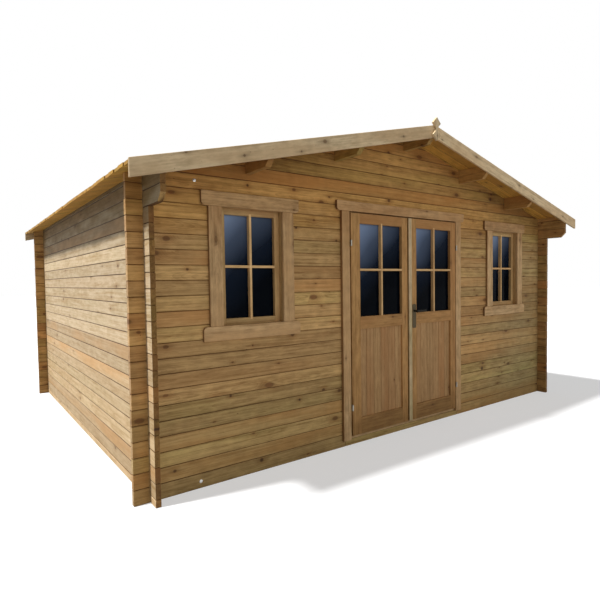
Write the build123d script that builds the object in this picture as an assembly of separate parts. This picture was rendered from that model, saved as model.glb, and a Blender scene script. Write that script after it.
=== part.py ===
from build123d import *
import math
import os

# Frame: millimetres, +Z up. X runs along the door front, centred on the building.
# Y runs from the front to the back, centred between the front and rear finials. Z = 0 is the floor.

# Driving dimensions: wall logs
course = 97.0              # height of one wall log
log_t = 34.0               # thickness of a wall log
groove = 4.0               # depth of the bevel along each log joint
wall_length = 4660.0       # outer faces of the two side walls
wall_depth = 3800.0        # outer faces of the front and back walls
log_end = 100.0            # log ends beyond each corner
side_courses = 18          # full courses of a side wall below its two plate logs
door_courses = 20          # full courses of the front wall beside the doorway

# Driving dimensions: roof
pitch = 13.8               # degrees
plate_courses = 2          # plate logs on top of a side wall
roof_over_plate = 30.5     # deck underside above the plates' last whole course, at the wall's outer face
deck_t = 19.0
eave = 170.0               # deck beyond the side walls
front_overhang = 325.0     # front wall to the front of the barge boards
rear_overhang = 176.0
barge_t = 19.0
barge_depth = 103.0        # measured plumb
barge_stand = 4.0          # barge board above the deck
finial_size = 97.0         # width of one lozenge
finial_t = 19.0
plate_nose = 49.0          # corner cut off the plate and purlin ends
plate_setback = 5.0        # plate and purlin ends behind the barge board

# Driving dimensions: purlins
purlin_w = 44.0
purlin_h = 120.0
purlin_pitch = 798.0
purlin_sides = 2           # purlins on each side of the ridge

# Driving dimensions: windows
window_x = 1573.0          # centre of each window from the middle of the front
sash_w = 482.0
sash_h = 790.0
sash_below_joint = 1.0     # top of the sash below the joint one course under the gable
sash_t = 44.0
sash_rail = 42.0
sash_back = 30.0           # front of the sash behind the wall's outer face
box_t = 20.0               # boards of the window box
box_depth = 84.0
casing_t = 22.0
casing_w = 97.0
head_over = 49.0           # head and sill casings beyond the side casings
casing_round = 28.0
glass_t = 4.0
glass_back = 28.0          # glass behind the front of its sash or door leaf
glass_grip = 9.0           # glass edge held in its rebate

# Driving dimensions: doors
door_open_w = 1380.0       # between the jambs
jamb_t = 44.0              # the head is as thick, and its top is level with the gable's first log
jamb_depth = 72.0
door_casing_w = 80.0
door_casing_t = 28.0
door_casing_foot = 48.0
threshold_top = 72.0
sill_log_top = 50.0
leaf_t = 40.0
leaf_front = 28.0          # leaf front before the wall's outer face, flush with the casings
leaf_side_gap = 12.0
leaf_top_gap = 12.0
leaf_foot_gap = 8.0
leaf_meet_gap = 16.0
meet_line = -3.0           # middle of that gap from the middle of the doorway
leaf_stop_gap = 7.0
stop_w = 28.0
hinge_stile_left = 96.0
hinge_stile_right = 76.0
meet_stile_left = 71.0
meet_stile_right = 103.0
top_rail = 80.0
mid_rail_low = 944.0
mid_rail_high = 1045.0
foot_rail_top = 214.0
panel_t = 18.0
panel_back = 16.0          # panel front behind the leaf front
panel_grip = 10.0
astragal_w = 39.0
astragal_t = 12.0
astragal_lap = 8.0         # astragal over the gap between the leaves

# Driving dimensions: ironmongery
hinge_r = 6.5
hinge_len = 48.0
hinge_forward = 38.0       # hinge axis before the wall's outer face
hinge_foot = 232.0         # middle of the lower hinge above the foot of the leaf
hinge_top = 242.0          # middle of the upper hinge below the top of the leaf
hinge_plate_w = 48.0       # hinge axis to the inner edge of its plates
hinge_plate_t = 3.0
knuckle_gap = 0.3
lock_x = 75.0              # middle of the lock from the middle of the doorway
lock_w = 48.0
lock_h = 215.0
lock_t = 3.0
lock_mid = 1016.0
lever_z = 1062.0
lever_len = 118.0
lever_r = 8.0
lever_reach = 42.0
lever_thick = 10.0
spindle_r = 4.0
spindle_clear = 1.0
seat = 0.3                 # easy fit between parts that are slid together

# Worked-out positions
slope = math.tan(math.radians(pitch))
half = wall_length / 2
y_front_end = -front_overhang - finial_t
y_rear_end = wall_depth + rear_overhang + finial_t
front = -(y_front_end + y_rear_end) / 2
back = front + wall_depth
deck_v = deck_t / math.cos(math.radians(pitch))
plate_z = (side_courses + 0.5) * course
roof_at_wall = plate_z + plate_courses * course + roof_over_plate
door_open_h = door_courses * course - jamb_t
axis_y = front - hinge_forward
axis_x = door_open_w / 2 - leaf_side_gap / 2
leaf_low = threshold_top + leaf_foot_gap
leaf_high = door_open_h - leaf_top_gap
leaf_out = door_open_w / 2 - leaf_side_gap
left_leaf_in = meet_line - leaf_meet_gap / 2
right_leaf_in = meet_line + leaf_meet_gap / 2
face_y = front - leaf_front
hinge_heights = (leaf_low + hinge_foot, leaf_high - hinge_top)
sash_top = (door_courses - 1) * course - sash_below_joint
sash_bottom = sash_top - sash_h
purlin_front = front - front_overhang + barge_t + plate_setback
purlin_back = back + rear_overhang - barge_t - plate_setback


def roof_z(x):
    return roof_at_wall + slope * (half - abs(x))


def box(x0, x1, y0, y1, z0, z1):
    block = Box(x1 - x0, y1 - y0, z1 - z0, align=(Align.MIN, Align.MIN, Align.MIN))
    return Pos(x0, y0, z0) * block


def prism_y(points, y0, y1):
    face = make_face(Polyline(*[(x, y0, z) for x, z in points], close=True))
    return extrude(face, amount=y1 - y0, dir=(0, 1, 0))


def prism_x(points, x0, x1):
    face = make_face(Polyline(*[(x0, y, z) for y, z in points], close=True))
    return extrude(face, amount=x1 - x0, dir=(1, 0, 0))


def log_section(a0, a1, z0, z1, first):
    """Outline of stacked logs between two faces, with a bevelled groove at each joint."""

    def bevel(z):
        """Half a groove where an end of the stack lies on a joint."""
        steps = (z - first) / course
        on_joint = z > 0 and abs(steps - round(steps)) < 1e-6
        return groove if on_joint else 0

    joints = []
    z = first
    while z < z1 - groove:
        if z > z0 + groove:
            joints.append(z)
        z += course
    b0 = bevel(z0)
    b1 = bevel(z1)
    points = [(a0 + b0, z0)]
    if b0:
        points.append((a0, z0 + b0))
    for z in joints:
        points += [(a0, z - groove), (a0 + groove, z), (a0, z + groove)]
    if b1:
        points += [(a0, z1 - b1), (a0 + b1, z1), (a1 - b1, z1), (a1, z1 - b1)]
    else:
        points += [(a0, z1), (a1, z1)]
    for z in reversed(joints):
        points += [(a1, z + groove), (a1 - groove, z), (a1, z - groove)]
    if b0:
        points.append((a1, z0 + b0))
    points.append((a1 - b0, z0))
    return points


def gable_logs(y0, x0, x1, z0, z1):
    return prism_x(log_section(y0, y0 + log_t, z0, z1, course), x0, x1)


def side_logs(x0, y0, y1, z0, z1):
    return prism_y(log_section(x0, x0 + log_t, z0, z1, course / 2), y0, y1)


corner_x = (-half, half - log_t)
corner_y = (front, back - log_t)


def corner_cuts(low, high, rows, phase):
    """Boxes that take a quarter of each log away, above and below, where two walls cross."""
    cuts = []
    for k in rows:
        z0 = max((k + phase - 0.25) * course, low)
        z1 = min((k + phase + 0.25) * course, high)
        if z1 - z0 < 1:
            continue
        for x in corner_x:
            for y in corner_y:
                cuts.append(box(x, x + log_t, y, y + log_t, z0, z1))
    return cuts


under_roof = prism_y(
    [
        (-half - eave, 0),
        (half + eave, 0),
        (half + eave, roof_z(half + eave)),
        (0, roof_z(0)),
        (-half - eave, roof_z(half + eave)),
    ],
    purlin_front,
    purlin_back,
)
gable_top = roof_z(0) + 1
rows = range(0, door_courses + 2)

# Front wall: a log wall each side of the doorway, a sill log under it, a gable over it
door_log_x = door_open_w / 2 + jamb_t
door_log_z = door_courses * course
hole_w = sash_w + 2 * box_t
hole_z0 = sash_bottom - box_t
hole_z1 = sash_top + box_t
front_cuts = corner_cuts(0, gable_top, rows, 0)
front_walls = {}
for name, side in (("left", -1), ("right", 1)):
    outer = side * (half + log_end)
    inner = side * door_log_x
    wall = gable_logs(front, min(outer, inner), max(outer, inner), 0, door_log_z)
    wx = side * window_x
    wall -= box(wx - hole_w / 2, wx + hole_w / 2, front - 5, front + log_t + 5, hole_z0, hole_z1)
    front_walls[name] = wall - front_cuts

front_sill_log = box(-door_log_x, door_log_x, front, front + log_t, 0, sill_log_top)


def purlin(x):
    z_low = roof_z(x) - purlin_h
    points = [(x - purlin_w / 2, z_low), (x + purlin_w / 2, z_low), (x + purlin_w / 2, gable_top)]
    points.append((x - purlin_w / 2, gable_top))
    bar = prism_y(points, purlin_front, purlin_back) & under_roof
    for end, way in ((purlin_front, 1), (purlin_back, -1)):
        nose = [(end, z_low), (end + way * plate_nose, z_low), (end, z_low + plate_nose)]
        bar -= prism_x(nose, x - purlin_w, x + purlin_w)
    return bar


purlin_x = [k * purlin_pitch for k in range(-purlin_sides, purlin_sides + 1)]
ridge_purlin = purlin(0)
side_purlins = [purlin(x) for x in purlin_x if x != 0]


def purlin_slots(y0):
    slots = []
    for x in purlin_x:
        low = roof_z(x) - purlin_h
        w = purlin_w / 2 + seat
        slots.append(box(x - w, x + w, y0 - 5, y0 + log_t + 5, low, gable_top + 5))
    return slots


front_gable = gable_logs(front, -half - log_end, half + log_end, door_log_z, gable_top)
front_gable = (front_gable & under_roof) - front_cuts - purlin_slots(front)

back_wall = gable_logs(back - log_t, -half - log_end, half + log_end, 0, gable_top)
back_wall = (back_wall & under_roof) - front_cuts - purlin_slots(back - log_t)

# Side walls, half a course lower so that their logs lock into the front and back logs
side_cuts = corner_cuts(0, plate_z, rows, 0.5)
plate_cuts = corner_cuts(plate_z, (door_courses + 0.25) * course, rows, 0.5)
top_lock = (door_courses + 0.25) * course
side_walls = {}
wall_plates = {}
for name, x in (("left", corner_x[0]), ("right", corner_x[1])):
    wall = side_logs(x, front - log_end, back + log_end, 0, plate_z)
    side_walls[name] = wall - side_cuts
    plates = side_logs(x, purlin_front, purlin_back, plate_z, gable_top) & under_roof
    for end, way in ((purlin_front, 1), (purlin_back, -1)):
        nose = [(end, plate_z), (end + way * plate_nose, plate_z), (end, plate_z + plate_nose)]
        plates -= prism_x(nose, x - 5, x + log_t + 5)
    plates -= plate_cuts
    for y in corner_y:
        plates -= box(x, x + log_t, y, y + log_t, top_lock, gable_top)
    wall_plates[name] = plates

# Roof deck between the barge boards
deck_y0 = front - front_overhang + barge_t
deck_y1 = back + rear_overhang - barge_t
decks = {}
for name, side in (("left", -1), ("right", 1)):
    edge = side * (half + eave)
    low = roof_z(edge)
    points = [(0, roof_z(0)), (edge, low), (edge, low + deck_v), (0, roof_z(0) + deck_v)]
    decks[name] = prism_y(points, deck_y0, deck_y1)

# Barge boards, plumb cut at the eaves and mitred under the finials
barges = {}
for name, side in (("left", -1), ("right", 1)):
    edge = side * (half + eave)
    top_edge = roof_z(edge) + deck_v + barge_stand
    top_mid = roof_z(0) + deck_v + barge_stand
    points = [(0, top_mid), (edge, top_edge), (edge, top_edge - barge_depth), (0, top_mid - barge_depth)]
    pair = [prism_y(points, deck_y0 - barge_t, deck_y0), prism_y(points, deck_y1, deck_y1 + barge_t)]
    barges[name] = Compound(children=pair)

finial_z = roof_z(0) + deck_v + barge_stand + 60
lozenge = finial_size / 2
neck = finial_size / 8


def finial(y0):
    points = [(0, finial_z)]
    points += [(lozenge, finial_z - lozenge), (neck, finial_z - 2 * lozenge + neck)]
    points += [(neck, finial_z - 2 * lozenge - neck), (lozenge, finial_z - 3 * lozenge)]
    points.append((0, finial_z - 4 * lozenge))
    points += [(-x, z) for x, z in reversed(points[1:-1])]
    return prism_y(points, y0, y0 + finial_t)


finials = Compound(children=[finial(deck_y0 - barge_t - finial_t), finial(deck_y1 + barge_t)])


# Windows: box, casings, sash and glass
def window(side):
    cx = side * window_x
    x0 = cx - sash_w / 2
    x1 = cx + sash_w / 2
    frame_box = box(x0 - box_t, x1 + box_t, front, front + box_depth, hole_z0, hole_z1)
    frame_box -= box(x0, x1, front - 5, front + box_depth + 5, sash_bottom, sash_top)
    y0 = front + sash_back
    sight = (x0 + sash_rail, x1 - sash_rail, sash_bottom + sash_rail, sash_top - sash_rail)
    sash = box(x0, x1, y0, y0 + sash_t, sash_bottom, sash_top)
    sash -= box(sight[0], sight[1], y0 - 5, y0 + sash_t + 5, sight[2], sight[3])
    gy = y0 + glass_back
    g = glass_grip
    pocket = box(sight[0] - g, sight[1] + g, gy, gy + glass_t, sight[2] - g, sight[3] + g)
    c = g - seat
    glass = box(sight[0] - c, sight[1] + c, gy, gy + glass_t, sight[2] - c, sight[3] + c)
    sash -= pocket
    sides = []
    for a, b in ((x0 - casing_w, x0), (x1, x1 + casing_w)):
        sides.append(box(a, b, front - casing_t, front, sash_bottom, sash_top))
    ends = (x0 - casing_w - head_over, x1 + casing_w + head_over)
    head = box(ends[0], ends[1], front - casing_t, front, sash_top, sash_top + casing_w)
    low = [e for e in head.edges().filter_by(Axis.Y) if e.center().Z < sash_top + 1]
    head = fillet(low, casing_round)
    sill = box(ends[0], ends[1], front - casing_t, front, sash_bottom - casing_w, sash_bottom)
    high = [e for e in sill.edges().filter_by(Axis.Y) if e.center().Z > sash_bottom - 1]
    sill = fillet(high, casing_round)
    return frame_box, sash, glass, sides, head, sill


windows = {"left": window(-1), "right": window(1)}

# Door frame: jambs and head with a stop behind the leaves, threshold, casings
stop_y = front - leaf_front + leaf_t + leaf_stop_gap
jamb_y1 = front + jamb_depth
w = door_open_w / 2
door_frame = box(-door_log_x, door_log_x, front, jamb_y1, sill_log_top, door_log_z)
door_frame -= box(-w, w, front - 5, jamb_y1 + 5, sill_log_top - 5, door_open_h)
stop = box(-w, w, stop_y, jamb_y1, threshold_top, door_open_h)
stop -= box(-w + stop_w, w - stop_w, stop_y - 5, jamb_y1 + 5, threshold_top - 5, door_open_h - 24)
door_frame += stop
door_threshold = box(-w, w, front, jamb_y1, sill_log_top, threshold_top)
door_threshold += box(-w + stop_w, w - stop_w, stop_y, jamb_y1, sill_log_top, threshold_top + 20)
casing_y = front - door_casing_t
side_casings = [
    box(-w - door_casing_w, -w, casing_y, front, door_casing_foot, door_open_h),
    box(w, w + door_casing_w, casing_y, front, door_casing_foot, door_open_h),
]
ends = w + door_casing_w + head_over
door_head_casing = box(-ends, ends, casing_y, front, door_open_h, door_open_h + door_casing_w)
low = [e for e in door_head_casing.edges().filter_by(Axis.Y) if e.center().Z < door_open_h + 1]
door_head_casing = fillet(low, casing_round)


# Door leaves: framed, glazed above and panelled below
def leaf(side, hinge_stile, meet_edge, meet_stile):
    a, b = sorted((side * leaf_out, meet_edge))
    body = box(a, b, face_y, face_y + leaf_t, leaf_low, leaf_high)
    outer = side * (leaf_out - hinge_stile)
    inner = meet_edge + side * meet_stile
    s0, s1 = sorted((outer, inner))
    y1 = face_y + leaf_t
    glazed = (s0, s1, mid_rail_high, leaf_high - top_rail)
    boarded = (s0, s1, foot_rail_top, mid_rail_low)
    for bay in (glazed, boarded):
        body -= box(bay[0], bay[1], face_y - 5, y1 + 5, bay[2], bay[3])
    gy = face_y + glass_back
    g = glass_grip
    body -= box(s0 - g, s1 + g, gy, gy + glass_t, glazed[2] - g, glazed[3] + g)
    c = g - seat
    pane = box(s0 - c, s1 + c, gy, gy + glass_t, glazed[2] - c, glazed[3] + c)
    py = face_y + panel_back
    g = panel_grip
    body -= box(s0 - g, s1 + g, py, py + panel_t, boarded[2] - g, boarded[3] + g)
    c = g - seat
    panel = box(s0 - c, s1 + c, py, py + panel_t, boarded[2] - c, boarded[3] + c)
    return body, pane, panel


left_leaf, left_pane, left_panel = leaf(-1, hinge_stile_left, left_leaf_in, meet_stile_left)
right_leaf, right_pane, right_panel = leaf(1, hinge_stile_right, right_leaf_in, meet_stile_right)
a = right_leaf_in - astragal_lap
astragal = box(a, a + astragal_w, face_y - astragal_t, face_y, leaf_low, leaf_high)


# Butt hinges: the lower knuckle's plate on the jamb, the upper knuckle's on the edge of the leaf
def knuckle(x, z0, way):
    z1 = z0 + hinge_len / 2 - knuckle_gap / 2
    barrel = Pos(x, axis_y, z0) * Cylinder(hinge_r, z1 - z0, align=(Align.CENTER, Align.CENTER, Align.MIN))
    seat_x = x + way * leaf_side_gap / 2
    a, b = sorted((seat_x - way * hinge_plate_t, seat_x))
    return barrel + box(a, b, axis_y, axis_y + hinge_plate_w, z0, z1)


frame_hinges = []
leaf_hinges = {"left": [], "right": []}
for name, side in (("left", -1), ("right", 1)):
    for z in hinge_heights:
        low = z - hinge_len / 2
        frame_hinges.append(knuckle(side * axis_x, low, side))
        high = z + knuckle_gap / 2
        leaf_hinges[name].append(knuckle(side * axis_x, high, -side))

# Lock plates and lever handle on the right leaf
bore = spindle_r + spindle_clear
leaf_back = face_y + leaf_t
drill = Pos(lock_x, face_y - 50, lever_z) * Rot(-90, 0, 0)
drill = drill * Cylinder(bore, 150, align=(Align.CENTER, Align.CENTER, Align.MIN))
right_leaf -= drill
lock_plates = []
for y in (face_y - lock_t, leaf_back):
    low = lock_mid - lock_h / 2
    plate = box(lock_x - lock_w / 2, lock_x + lock_w / 2, y, y + lock_t, low, low + lock_h)
    plate = fillet(plate.edges().filter_by(Axis.Y), lock_w / 4)
    lock_plates.append(plate - drill)


def along_y(x, y0, y1, z, r):
    rod = Cylinder(r, y1 - y0, align=(Align.CENTER, Align.CENTER, Align.MIN))
    return Pos(x, y0, z) * Rot(-90, 0, 0) * rod


y_out = face_y - lock_t - seat
y_in = leaf_back + lock_t + seat
lever = along_y(lock_x, y_out - lever_reach, y_in + lever_reach, lever_z, spindle_r)
for y0, way in ((y_out, -1), (y_in, 1)):
    y1 = y0 + way * lever_reach
    a, b = sorted((y0, y1))
    lever += along_y(lock_x, a, b, lever_z, lever_r)
    a, b = sorted((y1, y1 - way * lever_thick))
    grip = box(lock_x - lever_r, lock_x + lever_len, a, b, lever_z - lever_r, lever_z + lever_r)
    lever += fillet(grip.edges().filter_by(Axis.Y), lever_r * 0.9)

parts = {
    "front_wall_left": front_walls["left"],
    "front_wall_right": front_walls["right"],
    "front_gable": front_gable,
    "front_sill_log": front_sill_log,
    "back_wall": back_wall,
    "left_side_wall": side_walls["left"],
    "right_side_wall": side_walls["right"],
    "left_wall_plates": wall_plates["left"],
    "right_wall_plates": wall_plates["right"],
    "ridge_purlin": ridge_purlin,
    "side_purlins": Compound(children=side_purlins),
    "roof_deck_left": decks["left"],
    "roof_deck_right": decks["right"],
    "barge_boards_left": barges["left"],
    "barge_boards_right": barges["right"],
    "finials": finials,
    "door_frame": door_frame,
    "door_threshold": door_threshold,
    "door_side_casings": Compound(children=side_casings),
    "door_head_casing": door_head_casing,
    "window_boxes": Compound(children=[windows["left"][0], windows["right"][0]]),
    "window_sash_left": windows["left"][1],
    "window_sash_right": windows["right"][1],
    "window_glass_left": windows["left"][2],
    "window_glass_right": windows["right"][2],
    "window_side_casings": Compound(children=windows["left"][3] + windows["right"][3]),
    "window_head_casings": Compound(children=[windows["left"][4], windows["right"][4]]),
    "window_sill_casings": Compound(children=[windows["left"][5], windows["right"][5]]),
    "door_leaf_left": left_leaf,
    "door_panel_left": left_panel,
    "door_glass_left": left_pane,
    "door_hinges_left": Compound(children=leaf_hinges["left"]),
    "door_leaf_right": right_leaf,
    "door_panel_right": right_panel,
    "door_glass_right": right_pane,
    "door_hinges_right": Compound(children=leaf_hinges["right"]),
    "door_astragal": astragal,
    "lock_plates": Compound(children=lock_plates),
    "lever_handle": lever,
    "frame_hinges": Compound(children=frame_hinges),
}

os.makedirs("parts", exist_ok=True)
for name, shape in parts.items():
    export_step(shape, "parts/" + name + ".step")
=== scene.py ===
import math
import random

import bmesh
import bpy
from mathutils import Matrix, Vector


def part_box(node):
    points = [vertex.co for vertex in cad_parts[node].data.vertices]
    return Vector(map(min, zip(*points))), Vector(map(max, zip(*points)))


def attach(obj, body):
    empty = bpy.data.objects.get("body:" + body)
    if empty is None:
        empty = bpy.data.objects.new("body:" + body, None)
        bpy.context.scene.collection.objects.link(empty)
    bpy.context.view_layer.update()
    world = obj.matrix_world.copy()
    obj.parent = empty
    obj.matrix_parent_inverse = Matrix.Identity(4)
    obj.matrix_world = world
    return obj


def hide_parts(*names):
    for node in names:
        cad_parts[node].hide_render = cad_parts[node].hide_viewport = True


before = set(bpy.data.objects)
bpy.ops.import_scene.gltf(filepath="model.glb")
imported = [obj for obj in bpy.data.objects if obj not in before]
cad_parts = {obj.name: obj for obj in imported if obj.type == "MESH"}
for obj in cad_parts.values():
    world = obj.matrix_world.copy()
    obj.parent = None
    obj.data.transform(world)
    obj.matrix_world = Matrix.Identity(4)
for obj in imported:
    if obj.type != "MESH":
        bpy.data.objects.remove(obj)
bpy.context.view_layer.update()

# Wall logs. Planed softwood logs, 97 mm high and 34 mm thick, bevelled along every joint.
# They are pressure treated, stacked dry, and half notched so that they lock where two walls cross.
# Under the side walls lies half a log, so their joints are half a course off those of the front.
course = 0.097
front_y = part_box("front_wall_left")[0].y
X, Y, Z = Vector((1, 0, 0)), Vector((0, 1, 0)), Vector((0, 0, 1))


def rough_timber(node):
    """A clean copy of a solid from the model, in big flat faces."""
    bm = bmesh.new()
    bm.from_mesh(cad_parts[node].data)
    bmesh.ops.remove_doubles(bm, verts=bm.verts, dist=1e-5)
    bmesh.ops.dissolve_limit(bm, angle_limit=0.01, verts=bm.verts, edges=bm.edges)
    return bm


def saw(bm, way, at):
    """Saws through everything at one level along an axis and closes the sawn faces."""
    near = 2e-5
    everything = bm.verts[:] + bm.edges[:] + bm.faces[:]
    bmesh.ops.bisect_plane(bm, geom=everything, dist=near, plane_co=way * at, plane_no=way)

    def side(face):
        off = face.calc_center_median().dot(way) - at
        return off > 0 if abs(off) > near else face.normal.dot(way) < 0

    kerf = [
        e for e in bm.edges
        if len(e.link_faces) == 2
        and all(abs(v.co.dot(way) - at) < near for v in e.verts)
        and side(e.link_faces[0]) != side(e.link_faces[1])
    ]
    bmesh.ops.split_edges(bm, edges=kerf)
    bmesh.ops.holes_fill(bm, edges=[e for e in bm.edges if e.is_boundary], sides=0)


def single_pieces(bm):
    """The separate pieces of timber in a mesh, each as its list of vertices."""
    left = set(bm.verts)
    found = []
    for first in bm.verts:
        if first not in left:
            continue
        left.remove(first)
        piece, queue = [first], [first]
        while queue:
            for e in queue.pop().link_edges:
                for v in e.verts:
                    if v in left:
                        left.remove(v)
                        piece.append(v)
                        queue.append(v)
        found.append(piece)
    return found


def ease_edges(bm, width, steps=1, least=0.4):
    """Takes the sharpness off the outer edges, as planing does."""
    bm.normal_update()
    sharp = [
        e for e in bm.edges
        if len(e.link_faces) == 2 and e.is_convex and e.calc_face_angle(0) > least
    ]
    bmesh.ops.bevel(
        bm, geom=sharp, offset=width, segments=steps, profile=0.5, affect="EDGES", clamp_overlap=True,
    )


def lay_grain(bm, draw, axes=None, heart=0.05, joints=False):
    """Gives every piece of timber its own place in a tree: where its grain runs, and its tone.

    It also marks the sawn ends and, on logs, the bevels where one lies on the next and where each point lies
    across the log, for painted shade at the joints.
    """
    grain = bm.verts.layers.float_vector.new("grain")
    tone = bm.verts.layers.float_vector.new("board")
    edge = bm.verts.layers.float.new("across")
    sawn = bm.faces.layers.float.new("sawn_end")
    joint_shade = bm.loops.layers.float.new("joint")
    bm.normal_update()
    for piece in single_pieces(bm):
        if axes is None:
            size = [max(v.co[i] for v in piece) - min(v.co[i] for v in piece) for i in range(3)]
            order = sorted(range(3), key=lambda i: -size[i])
            long, wide, thick = [(X, Y, Z)[i] for i in order]
        else:
            long, wide, thick = axes
        spans = []
        for axis in (long, wide, thick):
            along = [v.co.dot(axis) for v in piece]
            spans.append((min(along), max(along)))
        start = draw.uniform(0, 60) - spans[0][0]
        low, high = spans[1]
        pith = -(low + high) / 2 + draw.uniform(-0.4, 0.4) * (high - low)
        depth = -sum(spans[2]) / 2 + draw.choice((-1, 1)) * draw.uniform(0.4, 1.6) * heart
        look = Vector((draw.random(), draw.random(), draw.random()))
        for v in piece:
            v[grain] = Vector((v.co.dot(long) + start, v.co.dot(wide) + pith, v.co.dot(thick) + depth))
            v[tone] = look
            w = v.co.dot(wide)
            to_edge = min(w - low, high - w)
            v[edge] = (w - (low + high) / 2) / max(high - low, 0.01) * 2 if joints else 0.0
            for loop in v.link_loops:
                normal = loop.face.normal
                across = abs(normal.dot(long)) > 0.8
                loop.face[sawn] = 1.0 if across else 0.0
                # Bevels along a log's joints are marked for painted shade.
                slanted = abs(normal.dot(thick)) < 0.9 and not across
                bevel = 0.003 if abs(normal.dot(long)) > 0.5 else 0.0016
                loop[joint_shade] = 1.0 if joints and slanted and to_edge < bevel else 0.0


def finished(bm, name, node, body, material, smooth=False, facing=None, facing_material=None):
    """Puts the made piece in the place of the model's solid. Faces turned one way may have a material of its
    own, such as the paler pine painted as lit by the sun.
    """
    bmesh.ops.recalc_face_normals(bm, faces=bm.faces)
    if facing is not None:
        bm.normal_update()
        for face in bm.faces:
            face.material_index = 1 if face.normal.dot(facing) > 0.6 else 0
    mesh = bpy.data.meshes.new(name)
    bm.to_mesh(mesh)
    bm.free()
    mesh.materials.append(material)
    if facing is not None:
        mesh.materials.append(facing_material)
    piece = bpy.data.objects.new(name, mesh)
    bpy.context.scene.collection.objects.link(piece)
    if smooth:
        mesh.shade_smooth()
        mesh.set_sharp_from_angle(angle=math.radians(32))
    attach(piece, body)
    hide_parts(node)


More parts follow.
